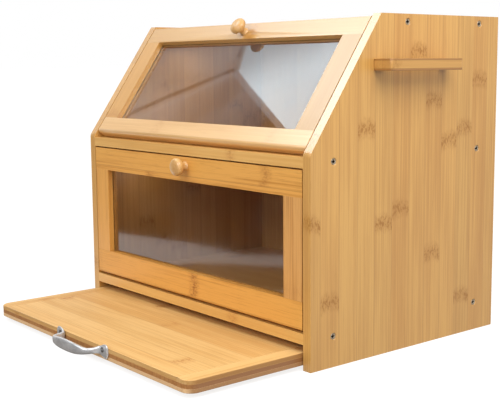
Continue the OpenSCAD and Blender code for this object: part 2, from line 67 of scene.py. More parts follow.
# The slope that the upper door follows: how far it leans back, and the turn that lays upright things on it
SLOPE = math.atan2(SLOPE_RUN, SLOPE_RISE)
TO_SLOPE = (
    Matrix.Translation((0, FRONT * MM, KNEE_HEIGHT * MM)) @ Matrix.Rotation(-SLOPE, 4, "X")
)


def srgb(red, green, blue):
    """A colour given as 0 to 255 display values, as the linear values that shaders take."""

    def linear(value):
        value /= 255
        return value / 12.92 if value <= 0.04045 else ((value + 0.055) / 1.055) ** 2.4

    return (linear(red), linear(green), linear(blue), 1.0)


# ---------- Shader building ----------


class Shader:
    """One material's nodes. Inputs take a value, or the output of another node."""

    def __init__(self, name):
        self.material = bpy.data.materials.new(name)
        self.material.use_nodes = True
        self.tree = self.material.node_tree
        self.tree.nodes.clear()

    def add(self, kind, inputs=None, **settings):
        node = self.tree.nodes.new("ShaderNode" + kind)
        for key, value in settings.items():
            setattr(node, key, value)
        for key, value in (inputs or {}).items():
            if isinstance(value, bpy.types.NodeSocket):
                self.tree.links.new(value, node.inputs[key])
            else:
                node.inputs[key].default_value = value
        return node

    def math(self, operation, *values):
        return self.add("Math", dict(enumerate(values)), operation=operation).outputs[0]

    def smooth(self, value, start, end, to_start=0.0, to_end=1.0):
        """Eases from to_start to to_end as value goes from start to end."""
        inputs = {"Value": value, "From Min": start, "From Max": end, "To Min": to_start, "To Max": to_end}
        return self.add("MapRange", inputs, interpolation_type="SMOOTHSTEP").outputs[0]

    def vector(self, x, y, z):
        return self.add("CombineXYZ", {0: x, 1: y, 2: z}).outputs[0]

    def noise(self, vector, scale=1.0, detail=2.0, roughness=0.5):
        inputs = {"Vector": vector, "Scale": scale, "Detail": detail, "Roughness": roughness}
        return self.add("TexNoise", inputs).outputs["Fac"]

    def random(self, value):
        """Three random numbers, the same wherever value is the same."""
        node = self.add("TexWhiteNoise", {"W": value}, noise_dimensions="1D")
        return self.add("SeparateColor", {0: node.outputs["Color"]}).outputs

    def mix(self, factor, first, second, blend="MIX"):
        inputs = {0: factor, 6: first, 7: second}
        return self.add("Mix", inputs, data_type="RGBA", blend_type=blend).outputs[2]

    def surface(self, shader_node):
        self.add("OutputMaterial", {"Surface": shader_node.outputs[0]})
        return self.material


def at_scale(s, axes, along, across):
    """Grain coordinates stretched along the fibres: along and across are features per metre."""
    scales = (along, across, across)
    return s.vector(*(s.math("MULTIPLY", axis, scale) for axis, scale in zip(axes, scales)))


def grain_axes(s, grain, turned=None):
    """Positions along the fibres, across the strips and through the thickness, such as grain="ZYX"."""
    place = s.add("TexCoord").outputs["Object"]
    if turned is not None:
        inputs = {"Vector": place, "Rotation": turned}
        place = s.add("Mapping", inputs, vector_type="POINT").outputs[0]
    xyz = s.add("SeparateXYZ", {0: place}).outputs
    return [xyz["XYZ".index(letter)] for letter in grain]


def edge_mask(s, radius):
    """1 on edges that are rounded over within the radius, and 0 on flat faces."""
    rounded = s.add("Bevel", {"Radius": radius}, samples=6).outputs[0]
    flat = s.add("NewGeometry").outputs["Normal"]
    likeness = s.add("VectorMath", {0: rounded, 1: flat}, operation="DOT_PRODUCT").outputs["Value"]
    return s.smooth(likeness, 0.995, 0.85)


# A culm's joints lie about this far apart, in metres
JOINT_SPACING = 0.19


def knuckle_marks(s, axes, distance, inside):
    """The mottled band that a culm's joint leaves across one strip, where distance is 0. inside runs from 0
    to 1 across the strip."""
    wobble = s.math("MULTIPLY", s.math("SUBTRACT", s.noise(at_scale(s, axes, 25, 90)), 0.5), 9 * MM)
    bow = s.math("MULTIPLY", s.math("POWER", s.math("SUBTRACT", inside, 0.5), 2), 12 * MM)
    reach = s.math("ABSOLUTE", s.math("ADD", s.math("ADD", distance, wobble), bow))
    cloud = s.smooth(reach, 12 * MM, 1 * MM)
    mottle = s.smooth(s.noise(at_scale(s, axes, 240, 520), detail=3.0, roughness=0.7), 0.44, 0.62)
    patches = s.smooth(s.noise(at_scale(s, axes, 110, 90)), 0.35, 0.65)
    ridge = s.smooth(reach, 2.2 * MM, 0)
    blotch = s.math("MULTIPLY", cloud, s.math("ADD", s.math("MULTIPLY", mottle, 0.75), 0.25))
    return s.math("ADD", blotch, s.math("MULTIPLY", ridge, s.math("MULTIPLY", patches, 0.4)))


def scattered_joints(s, moved, u, row, inside, phase, seed):
    """Joint marks at one place in every JOINT_SPACING of each strip, some fainter than others."""
    cell = s.math("ADD", s.math("DIVIDE", u, JOINT_SPACING), s.math("MULTIPLY", phase, 7))
    distance = s.math("MULTIPLY", s.math("SUBTRACT", s.math("FRACT", cell), 0.5), JOINT_SPACING)
    which = s.math("ADD", s.math("FLOOR", cell), s.math("MULTIPLY", row, 13.7))
    strength = s.smooth(s.random(s.math("ADD", which, seed))[0], 0.25, 0.9)
    return s.math("MULTIPLY", knuckle_marks(s, moved, distance, inside), strength)


def listed_joints(s, moved, u, row, inside, joints):
    """Joint marks at the listed places, two for each strip, read from a colour ramp with a step for each."""
    table = s.add("ValToRGB", {0: s.math("DIVIDE", s.math("ADD", row, 0.5), len(joints))})
    ramp = table.color_ramp
    ramp.interpolation = "CONSTANT"
    for number, (lower, upper) in enumerate(joints):
        stop = ramp.elements[number] if number < 2 else ramp.elements.new(number / len(joints))
        stop.position = number / len(joints)
        stop.color = (lower, upper, 0, 1)
    found = s.add("SeparateColor", {0: table.outputs["Color"]}).outputs
    both = [knuckle_marks(s, moved, s.math("SUBTRACT", u, found[k]), inside) for k in (0, 1)]
    return s.math("MAXIMUM", *both)


def bamboo(name, colours, grain, strip, first=0.0, seed=0.0, turned=None, joints=None, contrast=1.0,
           marks=1.0, strips=0.16, bands=(), painted_side_shade=0.0, rough=0.42, mirror=0.45, coat=0.12,
           coat_rough=0.2, coat_ior=1.5, slope_coat=False):
    """Glued bamboo strips. colours are the light, the middle and the dark one, and the one of the joints.
    grain names the axes along the fibres, across the strips and through the thickness, and turned lays them
    along the slope. strip is the strips' width and first is where a boundary between two lies. seed gives
    each wood its own strips. joints lists two places along each strip, starting with the strip at first;
    without it they are scattered. contrast is that of the streaks, marks that of the joints and strips that
    from strip to strip. bands are the (bottom, top, darkness) of plies that show on an edge.
    painted_side_shade is how much painted shade darkens the faces to the left and right. The rounded edges
    get a painted highlight.
    slope_coat varnishes the faces that lie along the slope. Lengths are in metres."""
    light, middle, dark, joint_brown = colours
    s = Shader(name)
    axes = grain_axes(s, grain, turned)
    u, v, w = axes
    place = s.math("DIVIDE", s.math("SUBTRACT", v, first), strip)
    row = s.math("FLOOR", place)
    inside = s.math("FRACT", place)
    tone, phase, hue = s.random(s.math("ADD", row, seed + 0.5))[:3]
    moved = [s.math("ADD", u, s.math("MULTIPLY", phase, 3.7)), s.math("ADD", v, seed * 0.31), w]

    clouds = s.noise(at_scale(s, moved, 7, 60), detail=2.0)
    streaks = s.noise(at_scale(s, moved, 5, 480), detail=3.0, roughness=0.75)
    fibres = s.noise(at_scale(s, moved, 40, 1900), detail=2.0, roughness=0.6)
    shade = s.math("ADD", s.math("MULTIPLY", clouds, 0.35), s.math("MULTIPLY", streaks, 0.65))
    shade = s.math("ADD", shade, s.math("MULTIPLY", s.math("SUBTRACT", tone, 0.5), strips))
    colour = s.mix(s.smooth(shade, 0.5 - 0.24 / contrast, 0.5 + 0.24 / contrast), middle, light)
    colour = s.mix(s.math("MULTIPLY", hue, 0.12), colour, srgb(196, 148, 108), "SOFT_LIGHT")
    pores = s.smooth(fibres, 0.56, 0.74)
    colour = s.mix(s.math("MULTIPLY", pores, 0.16 * contrast), colour, dark)

    if joints is None:
        mark = scattered_joints(s, moved, u, row, inside, phase, seed)
    else:
        mark = listed_joints(s, moved, u, row, inside, joints)
    colour = s.mix(s.math("MULTIPLY", mark, 0.8 * marks), colour, joint_brown)

    # The thin glue lines between the strips
    from_middle = s.math("ABSOLUTE", s.math("SUBTRACT", inside, 0.5))
    to_edge = s.math("MULTIPLY", s.math("SUBTRACT", 0.5, from_middle), strip)
    glue = s.smooth(to_edge, 0.7 * MM, 0.1 * MM)
    seam = s.math("ADD", s.math("MULTIPLY", tone, 0.3), 0.08)
    colour = s.mix(s.math("MULTIPLY", glue, seam), colour, dark)
    for bottom, top, darkness in bands:
        above = s.smooth(w, bottom - 0.2 * MM, bottom + 0.2 * MM)
        below = s.smooth(w, top + 0.2 * MM, top - 0.2 * MM)
        colour = s.mix(s.math("MULTIPLY", s.math("MULTIPLY", above, below), darkness), colour, dark)

    # Where the fibres are cut across they are darker, and show as dots
    normal = s.add("TexCoord").outputs["Normal"]
    facing = s.add("SeparateXYZ", {0: normal}).outputs
    if turned is None:
        ends = s.smooth(s.math("ABSOLUTE", facing["XYZ".index(grain[0])]), 0.6, 0.95)
        dots = s.noise(s.vector(0.0, s.math("MULTIPLY", v, 1400), s.math("MULTIPLY", w, 1400)), detail=1.0)
        darker = s.math("ADD", s.math("MULTIPLY", dots, 0.4), 0.1)
        colour = s.mix(s.math("MULTIPLY", ends, darker), colour, dark)
        # Painted shade: the faces to the left and right are darkened towards the dark colour.
        side_shade_mask = s.smooth(s.math("ABSOLUTE", facing[0]), 0.4, 0.95)
        colour = s.mix(s.math("MULTIPLY", side_shade_mask, painted_side_shade), colour, dark)

    # Painted highlight: the rounded edges are lightened towards the light colour.
    edge_highlight = s.math("MULTIPLY", edge_mask(s, 1.0 * MM), 0.25)
    colour = s.mix(edge_highlight, colour, light)

    if slope_coat:
        outward = (0.0, -math.cos(SLOPE), math.sin(SLOPE))
        likeness = s.add("VectorMath", {0: normal, 1: outward}, operation="DOT_PRODUCT").outputs["Value"]
        coat = s.smooth(likeness, 0.9, 0.99, coat, 1.0)
    height = s.math("ADD", s.math("MULTIPLY", fibres, 0.5), s.math("MULTIPLY", streaks, 0.5))
    height = s.math("SUBTRACT", height, s.math("MULTIPLY", glue, 0.8))
    bump = s.add("Bump", {"Strength": 0.12, "Distance": 0.15 * MM, "Height": height})
    roughness = s.math("ADD", s.math("MULTIPLY", streaks, 0.16), rough - 0.08)
    inputs = {
        "Base Color": colour,
        "Roughness": roughness,
        "Specular IOR Level": mirror,
        "Coat Weight": coat,
        "Coat Roughness": coat_rough,
        "Coat IOR": coat_ior,
        "Normal": bump.outputs[0],
    }
    return s.surface(s.add("BsdfPrincipled", inputs))


def metal(name, colour, rough, lines_along="X", recess=None, metallic=1.0):
    """Plated or brushed metal with fine lines along one axis and slight tarnish, and a painted highlight on
    its rounded edges. recess is an axis and the distance along it, either way, within which the metal lies in
    a hole and is painted near black as shade."""
    s = Shader(name)
    place = s.add("TexCoord").outputs["Object"]
    axes = grain_axes(s, {"X": "XYZ", "Z": "ZXY"}[lines_along])
    lines = s.noise(at_scale(s, axes, 60, 2600), detail=3.0, roughness=0.7)
    tarnish = s.noise(at_scale(s, axes, 90, 90), detail=3.0)
    dull = tuple(channel * 0.72 for channel in colour[:3]) + (1.0,)
    shade = s.math("ADD", s.math("MULTIPLY", lines, 0.5), s.math("MULTIPLY", tarnish, 0.5))
    tint = s.mix(s.smooth(shade, 0.62, 0.38), colour, dull)
    # Painted highlight: the rounded edges are lightened towards pale steel.
    edge_highlight = edge_mask(s, 0.4 * MM)
    tint = s.mix(s.math("MULTIPLY", edge_highlight, 0.35), tint, (0.85, 0.86, 0.87, 1.0))
    # Painted shade: the metal deep in its hole is painted near black.
    if recess is not None:
        axis, distance = recess
        along = s.math("ABSOLUTE", s.add("SeparateXYZ", {0: place}).outputs[axis])
        recess_shade = s.smooth(along, distance, distance - 0.5 * MM)
        tint = s.mix(recess_shade, tint, (0.012, 0.010, 0.009, 1))
    roughness = s.math("ADD", s.math("MULTIPLY", lines, 0.24), rough - 0.12)
    bump = s.add("Bump", {"Strength": 0.15, "Distance": 0.05 * MM, "Height": lines})
    inputs = {"Base Color": tint, "Metallic": metallic, "Roughness": roughness, "Normal": bump.outputs[0]}
    return s.surface(s.add("BsdfPrincipled", inputs))


def moulded_plastic(name, colour):
    """Matt moulded plastic with a fine grain."""
    s = Shader(name)
    place = s.add("TexCoord").outputs["Object"]
    grain = s.noise(place, scale=2200, detail=2.0)
    patches = s.noise(place, scale=60, detail=2.0)
    lighter = tuple(min(1.0, channel * 1.35) for channel in colour[:3]) + (1.0,)
    tint = s.mix(s.smooth(patches, 0.35, 0.7), colour, lighter)
    # Painted highlight: the rounded edges are lightened.
    tint = s.mix(s.math("MULTIPLY", edge_mask(s, 0.5 * MM), 0.4), tint, lighter)
    bump = s.add("Bump", {"Strength": 0.2, "Distance": 0.08 * MM, "Height": grain})
    roughness = s.math("ADD", s.math("MULTIPLY", grain, 0.2), 0.42)
    inputs = {"Base Color": tint, "Roughness": roughness, "Normal": bump.outputs[0]}
    return s.surface(s.add("BsdfPrincipled", inputs))


def clear_sheet(name, tint, haze, blur):
    """Thin clear plastic: it lets light straight through and mirrors a little, more at a slant. The face
    towards the eye mirrors for both faces, so the far one only lets light through. haze is how white its
    smears are, and blur how rough its mirror is."""
    s = Shader(name)
    place = s.add("TexCoord").outputs["Object"]
    ripple = s.noise(place, scale=9, detail=1.0)
    bump = s.add("Bump", {"Strength": 0.03, "Distance": 4 * MM, "Height": ripple})
    through = s.add("BsdfTransparent", {"Color": tint})
    smear = s.smooth(s.noise(place, scale=14, detail=3.0), 0.3, 0.75)
    roughness = s.math("ADD", s.math("MULTIPLY", smear, 0.02), blur)
    gloss = s.add("BsdfGlossy", {"Color": (1, 1, 1, 1), "Roughness": roughness, "Normal": bump.outputs[0]})
    one_face = s.add("Fresnel", {"IOR": 1.5, "Normal": bump.outputs[0]}).outputs[0]
    near = s.math("SUBTRACT", 1.0, s.add("NewGeometry").outputs["Backfacing"])
    mirror = s.math("MULTIPLY", s.math("MULTIPLY", one_face, 1.6), near)
    glass = s.add("MixShader", {0: mirror, 1: through.outputs[0], 2: gloss.outputs[0]})
    film = s.add("BsdfDiffuse", {"Color": (0.8, 0.82, 0.84, 1)})
    amount = s.math("MULTIPLY", smear, haze)
    return s.surface(s.add("MixShader", {0: amount, 1: glass.outputs[0], 2: film.outputs[0]}))


# ---------- Materials ----------

# Each wood's light, middle and dark colours, and the brown of its joints
SIDE = (srgb(206, 158, 85), srgb(184, 134, 66), srgb(136, 88, 40), srgb(158, 104, 28))
SLOPED = (srgb(200, 151, 78), srgb(185, 133, 60), srgb(150, 98, 40), srgb(172, 112, 46))
SLOPED_RAIL = (srgb(203, 156, 84), srgb(188, 138, 66), srgb(150, 98, 44), srgb(170, 112, 50))
# Painted glare: the upper door's right stile has its own paler, darker copy of SLOPED, matched to the
# softbox's glare on that side
SLOPED_PALE = (srgb(189, 148, 89), srgb(175, 131, 69), srgb(150, 98, 46), srgb(168, 112, 52))
# Painted light: the upper door's bottom rail has its own lighter copy, for the light that its rounded nose
# catches
SLOPED_LOW = (srgb(218, 173, 112), srgb(204, 156, 92), srgb(150, 98, 46), srgb(182, 124, 58))
SHELF = (srgb(218, 172, 100), srgb(202, 150, 76), srgb(140, 90, 38), srgb(170, 108, 44))
BOARD = (srgb(217, 176, 115), srgb(200, 153, 90), srgb(146, 96, 48), srgb(174, 116, 56))
DOOR = (srgb(214, 156, 75), srgb(186, 127, 52), srgb(120, 70, 26), srgb(146, 86, 32))
# Painted light: the lower door's right stile has its own paler copy of DOOR, for how the light falls on that
# side
DOOR_PALE = (srgb(206, 153, 86), srgb(179, 125, 61), srgb(126, 78, 34), srgb(150, 92, 40))
PLY_LOW = (srgb(232, 193, 146), srgb(216, 174, 126), srgb(150, 104, 62), srgb(172, 120, 70))
PLY_DARK = (srgb(198, 141, 80), srgb(172, 114, 60), srgb(108, 66, 32), srgb(128, 78, 38))

# Finishes: the upper door lies along the slope and is varnished, and the board is bare
VARNISHED = {"turned": (SLOPE, 0.0, 0.0), "rough": 0.34, "coat_ior": 1.9, "coat_rough": 0.28}
BARE = {"rough": 0.5, "coat": 0.0, "mirror": 0.2}

# Heights in metres of the joints in the right side panel's strips, from the front strip to the rear one. NONE
# lies far above the panel, so it shows no joint.
PANEL_STRIP = 23.2 * MM
PANEL_FIRST = FRONT * MM - 11.2 * MM
NONE = 9.0
PANEL_JOINTS = [
    (0.135, NONE), (0.062, NONE), (NONE, NONE), (0.218, NONE), (0.128, NONE), (0.139, NONE),
    (0.288, NONE), (0.241, 0.091), (0.201, NONE), (0.213, 0.041), (0.260, NONE), (NONE, NONE),
]

right_panel = bamboo("bamboo_right_panel", SIDE, "ZYX", PANEL_STRIP, PANEL_FIRST, seed=3, joints=PANEL_JOINTS,
                     contrast=1.5, marks=1.25, strips=0.09, coat_ior=2.0, slope_coat=True)
left_panel = bamboo("bamboo_left_panel", SIDE, "ZYX", PANEL_STRIP, PANEL_FIRST, seed=9, coat_ior=2.0,
                    slope_coat=True)
shelf_wood = bamboo("bamboo_shelf", SHELF, "XYZ", 21 * MM, seed=5)
top_wood = bamboo("bamboo_top", BOARD, "XYZ", 21 * MM, seed=6)
back_wood = bamboo("bamboo_back", SIDE, "ZXY", 22 * MM, seed=7)
runner_wood = bamboo("bamboo_runner", BOARD, "YXZ", 8 * MM, seed=8)
rail_wood = bamboo("bamboo_lower_rails", DOOR, "XZY", 25 * MM, 38.5 * MM, seed=11, contrast=2.4,
                   mirror=0.3, coat=0.05)
stile_wood = bamboo("bamboo_lower_stiles", DOOR, "ZXY", STILE_WIDTH * MM, STILE_EDGE * MM, seed=12,
                    contrast=2.2)
right_stile_wood = bamboo("bamboo_lower_right_stile", DOOR_PALE, "ZXY", STILE_WIDTH * MM, STILE_EDGE * MM,
                          seed=24, contrast=2.2)
slope_rail_wood = bamboo("bamboo_upper_rails", SLOPED_RAIL, "XZY", 20 * MM, seed=13, coat=1.0, **VARNISHED)
slope_low_wood = bamboo("bamboo_upper_bottom_rail", SLOPED_LOW, "XZY", 20 * MM, seed=21, contrast=1.5,
                        coat=1.0, **VARNISHED)
slope_stile_wood = bamboo("bamboo_upper_stiles", SLOPED, "ZXY", STILE_WIDTH * MM, STILE_EDGE * MM, seed=14,
                          coat=0.6, **VARNISHED)
slope_right_wood = bamboo("bamboo_upper_right_stile", SLOPED_PALE, "ZXY", STILE_WIDTH * MM, STILE_EDGE * MM,
                          seed=23, coat=0.7, **VARNISHED)
board_wood = bamboo("bamboo_board", BOARD, "XYZ", 20.5 * MM, BOARD_FRONT * MM, seed=15, contrast=1.9,
                    strips=0.10, **BARE)
# The board's end strips, bottom ply and core get painted shade on their left and right faces.
board_end_wood = bamboo("bamboo_board_ends", BOARD, "YXZ", END_STRIP * MM, (BOARD_HALF - END_STRIP) * MM,
                        seed=16, contrast=1.9, painted_side_shade=0.6, **BARE)
under_wood = bamboo("bamboo_board_under", PLY_LOW, "XYZ", 20.5 * MM, BOARD_FRONT * MM, seed=22,
                    painted_side_shade=0.75, **BARE)
core_wood = bamboo("bamboo_core", PLY_DARK, "YXZ", 6 * MM, seed=17, painted_side_shade=0.65)
HANDLE_PLIES = [(278.6 * MM, 281 * MM, 0.65), (268 * MM, 271.6 * MM, 0.7)]
handle_wood = bamboo("bamboo_handle", SIDE, "YXZ", 11 * MM, (PANEL_FACE - 0.3) * MM, seed=18,
                     bands=HANDLE_PLIES)
knob_wood = bamboo("bamboo_knob", BOARD, "YXZ", 9 * MM, seed=19, rough=0.3, coat=0.5)
dowel_wood = bamboo("dowel_beech", BOARD, "ZXY", 5 * MM, seed=20)
plated = metal("zinc_plated_steel", (0.62, 0.63, 0.65, 1), 0.32, "Z")
# The screws' cross recesses and the pull screws' deeper parts are painted near black as shade.
screw_steel = metal("zinc_plated_screws", (0.36, 0.29, 0.20, 1), 0.42, "Z",
                    recess=(0, (PANEL_FACE - 0.7) * MM))
pewter = metal("brushed_pewter", (0.80, 0.81, 0.83, 1), 0.38, metallic=0.7)
pewter_screws = metal("pewter_screws", (0.20, 0.19, 0.18, 1), 0.42, recess=(1, (2.4 - BOARD_FRONT) * MM),
                      metallic=0.7)
magnet_metal = metal("magnet_plate", (0.30, 0.30, 0.31, 1), 0.4)
catch_plastic = moulded_plastic("brown_plastic", srgb(92, 60, 38))
upper_pane = clear_sheet("clear_acrylic_upper", (0.97, 0.975, 0.98, 1), 0.03, 0.02)
lower_pane = clear_sheet("clear_acrylic_lower", (0.95, 0.95, 0.95, 1), 0.008, 0.08)

FINISHES = {
    left_panel: ["left_side_panel"],
    right_panel: ["right_side_panel"],
    shelf_wood: ["middle_shelf", "lower_shelf"],
    top_wood: ["top_panel"],
    back_wood: ["back_panel"],
    runner_wood: ["left_runner", "right_runner"],
    handle_wood: ["side_handle"],
    rail_wood: ["lower_door_top_rail", "lower_door_bottom_rail", "lower_door_beads"],
    stile_wood: ["lower_door_left_stile"],
    right_stile_wood: ["lower_door_right_stile"],
    slope_rail_wood: ["upper_door_top_rail", "upper_door_beads"],
    slope_low_wood: ["upper_door_bottom_rail"],
    slope_stile_wood: ["upper_door_left_stile"],
    slope_right_wood: ["upper_door_right_stile"],
    dowel_wood: ["upper_door_dowels", "lower_door_dowels"],
    knob_wood: ["upper_door_knob", "lower_door_knob"],
    board_wood: ["board_top_ply"],
    under_wood: ["board_bottom_ply"],
    board_end_wood: ["board_end_strips"],
    core_wood: ["board_core_ply"],
    upper_pane: ["upper_door_pane"],
    lower_pane: ["lower_door_pane"],
    pewter: ["board_pull"],
    pewter_screws: ["board_pull_screws"],
    magnet_metal: ["upper_catch_magnet", "lower_catch_magnet"],
    catch_plastic: ["upper_catch_housing", "lower_catch_housing"],
    screw_steel: ["left_panel_screws", "right_panel_screws"],
    plated: [
        "upper_pivot_pins", "lower_pivot_pins", "upper_strike_plate", "lower_strike_plate",
        "upper_strike_screws", "lower_strike_screws", "upper_catch_screws", "lower_catch_screws",
        "upper_knob_screw", "lower_knob_screw", "side_handle_screws", "back_panel_screws",
    ],
}


for material, names in FINISHES.items():
    for name in names:
        nodes[name].data.materials.clear()
        nodes[name].data.materials.append(material)


# ---------- Eased edges on the CAD pieces ----------


def ease(name, width):
    """Rounds the sharp edges of a CAD node with modifiers alone."""
    modifiers = nodes[name].modifiers
    modifiers.new("join", "WELD").merge_threshold = 0.01 * MM
    flat = modifiers.new("flatten", "DECIMATE")
    flat.decimate_type = "DISSOLVE"
    flat.angle_limit = math.radians(0.5)
    bevel = modifiers.new("ease", "BEVEL")
    bevel.width = width
    bevel.segments = 2
    bevel.limit_method = "ANGLE"
    bevel.angle_limit = math.radians(35)
    bevel.harden_normals = True


EASED = {
    0.7 * MM: [
        "left_side_panel", "right_side_panel", "top_panel", "middle_shelf", "lower_shelf",
        "upper_door_top_rail", "upper_door_bottom_rail", "lower_door_top_rail", "lower_door_bottom_rail",
    ],
    1.2 * MM: ["side_handle"],
}
for width, names in EASED.items():
    for name in names:
        ease(name, width)


# ---------- Pieces built here in place of CAD nodes ----------


def piece(name, vertices, faces, body, node, material, turn=None):
    """A mesh in millimetres that stands for one CAD node and moves with its body. turn puts it in its place,
    in metres."""
    mesh = bpy.data.meshes.new(name)
    mesh.from_pydata([Vector(vertex) * MM for vertex in vertices], [], faces)
    if turn is not None:
        mesh.transform(turn)
    fixer = bmesh.new()
    fixer.from_mesh(mesh)
    bmesh.ops.recalc_face_normals(fixer, faces=fixer.faces)
    fixer.to_mesh(mesh)
    fixer.free()
    mesh.materials.append(material)
    mesh.polygons.foreach_set("use_smooth", [True] * len(mesh.polygons))
    mesh.set_sharp_from_angle(angle=math.radians(40))
    made = bpy.data.objects.new(name, mesh)
    bpy.context.scene.collection.objects.link(made)
    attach(made, body)
    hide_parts(node)
    return made


def loft(rings):
    """Vertices and faces of a closed skin over rings that all have the same number of points."""
    count = len(rings[0])
    vertices = [point for ring in rings for point in ring]
    faces = []
    for row in range(len(rings) - 1):
        for column in range(count):
            after = (column + 1) % count
            low, high = row * count, (row + 1) * count
            faces.append((low + column, low + after, high + after, high + column))
    faces.append(tuple(range(count)))
    faces.append(tuple((len(rings) - 1) * count + column for column in range(count)))
    return vertices, faces


def through_points(controls, steps):
    """A Catmull-Rom curve through the control points, each a tuple of numbers."""
    padded = [controls[0]] + list(controls) + [controls[-1]]
    curve = []
    for start in range(len(controls) - 1):
        before, first, second, after = padded[start:start + 4]
        for step in range(steps):
            t = step / steps
            curve.append(tuple(
                0.5 * (2 * b + (c - a) * t + (2 * a - 5 * b + 4 * c - d) * t * t
                       + (3 * b - a - 3 * c + d) * t ** 3)
                for a, b, c, d in zip(before, first, second, after)
            ))
    curve.append(tuple(controls[-1]))
    return curve


# Half outline of a knob from the door outwards: radius and distance from the door's face
KNOB_OUTLINE = [
    (5.2, 0.0), (4.9, 0.6), (4.3, 1.8), (4.1, 3.4), (4.5, 5.0), (6.4, 6.4), (8.5, 8.2),
    (9.05, 10.4), (8.7, 12.4), (7.2, 13.9), (4.4, 14.75), (1.6, 14.98),
]


def angles_round(count):
    """Angles that divide a turn into count equal steps."""
    return [2 * math.pi * step / count for step in range(count)]


def build_knob(name, body, node, place):
    rings = []
    for radius, out in through_points(KNOB_OUTLINE, 4):
        rings.append([(radius * math.cos(turn), -out, radius * math.sin(turn)) for turn in angles_round(64)])
    vertices, faces = loft(rings)
    piece(name, vertices, faces, body, node, knob_wood, place)


up_slope = Matrix.Translation((0, 0, UPPER_KNOB * MM))
build_knob("upper_knob", "upper_door", "upper_door_knob", TO_SLOPE @ up_slope)
on_door = Matrix.Translation((0, FRONT * MM, LOWER_KNOB * MM))
build_knob("lower_knob", "lower_door", "lower_door_knob", on_door)

# The right half of the board's pull, from the outer end of its foot to the middle of its bow: how far each
# place lies to the right and outwards, and the height and thickness there
PULL_STATIONS = [
    (47.5, 1.2, 5.6, 1.7), (47.2, 1.15, 9.4, 2.2), (46.0, 1.15, 12.4, 2.3), (44.2, 1.15, 13.3, 2.3),
    (42.2, 1.15, 13.0, 2.3), (40.0, 1.15, 11.8, 2.3), (37.4, 1.25, 9.6, 2.4), (34.8, 2.2, 7.4, 2.9),
    (33.6, 5.4, 5.8, 3.5), (32.9, 9.6, 5.4, 3.8), (30.6, 13.6, 5.8, 4.0), (25.6, 16.4, 7.4, 4.0),
    (18.0, 17.6, 9.4, 4.0), (9.0, 17.9, 10.7, 4.0), (0.0, 17.9, 11.0, 4.0),
]


def squared_off(part):
    """A sine or cosine, changed so that a circle becomes a rounded square."""
    return math.copysign(abs(part) ** 0.55, part)


def build_pull():
    """The cast bow, whose section is a rounded oblong that turns with its path."""
    half = through_points(PULL_STATIONS, 5)
    path = half + [(-x, out, tall, thick) for x, out, tall, thick in reversed(half[:-1])]
    rings = []
    for number, (x, out, tall, thick) in enumerate(path):
        before = path[max(0, number - 1)]
        after = path[min(len(path) - 1, number + 1)]
        along = Vector((after[0] - before[0], before[1] - after[1])).normalized()
        ring = []
        for angle in angles_round(24):
            aside = squared_off(math.cos(angle)) * thick / 2
            rise = squared_off(math.sin(angle)) * tall / 2
            ring.append((x - along.y * aside, -out + along.x * aside, rise))
        rings.append(ring)
    vertices, faces = loft(rings)
    place = Matrix.Translation((PULL_X * MM, BOARD_FRONT * MM, PULL_HEIGHT * MM))
    piece("cast_pull", vertices, faces, "cutting_board", "board_pull", pewter, place)


build_pull()


def build_ply(name, node, material, outlines, low, high, soft):
    """A slab over outlines in plan, from low to high. soft gives the bevel's width on a level edge, in mm,
    from the x, y and z of its middle."""
    vertices = []
    faces = []
    for outline in outlines:
        start = len(vertices)
        count = len(outline)
        vertices += [(x, y, low) for x, y in outline] + [(x, y, high) for x, y in outline]
        faces.append(tuple(start + step for step in range(count)))
        faces.append(tuple(start + count + step for step in range(count)))
        for step in range(count):
            after = (step + 1) % count
            faces.append((start + step, start + after, start + count + after, start + count + step))
    made = piece(name, vertices, faces, "cutting_board", node, material)
    widths = made.data.attributes.new("bevel_weight_edge", "FLOAT", "EDGE")
    for edge in made.data.edges:
        first, second = (made.data.vertices[index].co / MM for index in edge.vertices)
        if abs(first.z - second.z) < 0.01:
            widths.data[edge.index].value = soft(*(first + second) / 2)
    bevel = made.modifiers.new("ease", "BEVEL")
    bevel.width = 1 * MM
    bevel.segments = 4
    bevel.limit_method = "WEIGHT"
    bevel.harden_normals = True


def screw(heading, place, head, shank, length):
    """Vertices and faces of a countersunk screw with a cross recess. heading turns -Z the way it points."""
    angles = angles_round(48)
    cross = [0.36 + 0.34 * abs(math.cos(2 * angle)) ** 3 for angle in angles]
    # Radius and depth as shares of the head's radius, and whether the ring has the shape of the cross
    profile = [
        (0.12, -0.42, True), (0.55, -0.40, True), (0.9, -0.12, True), (1.0, -0.06, True), (0.80, 0, False),
        (0.96, -0.16, False), (1.0, -0.20, False), (shank / head, -(head - shank) / head, False),
        (shank / head, 4 - 2 * length / head, False), (0.05, -2 * length / head, False),
    ]
    rings = []
    for radius, depth, in_recess in profile:
        ring = []
        for angle, lobe in zip(angles, cross):
            reach = radius * (lobe if in_recess else 1) * head / 2
            point = Vector((reach * math.cos(angle), reach * math.sin(angle), depth * head / 2))
            ring.append(heading @ point + place)
        rings.append(ring)
    return loft(rings)


def build_screws(name, body, node, material, screws):
    vertices, faces = [], []
    for one in screws:
        points, skin = screw(*one)
        faces += [tuple(len(vertices) + index for index in face) for face in skin]
        vertices += points
    piece(name, vertices, faces, body, node, material)


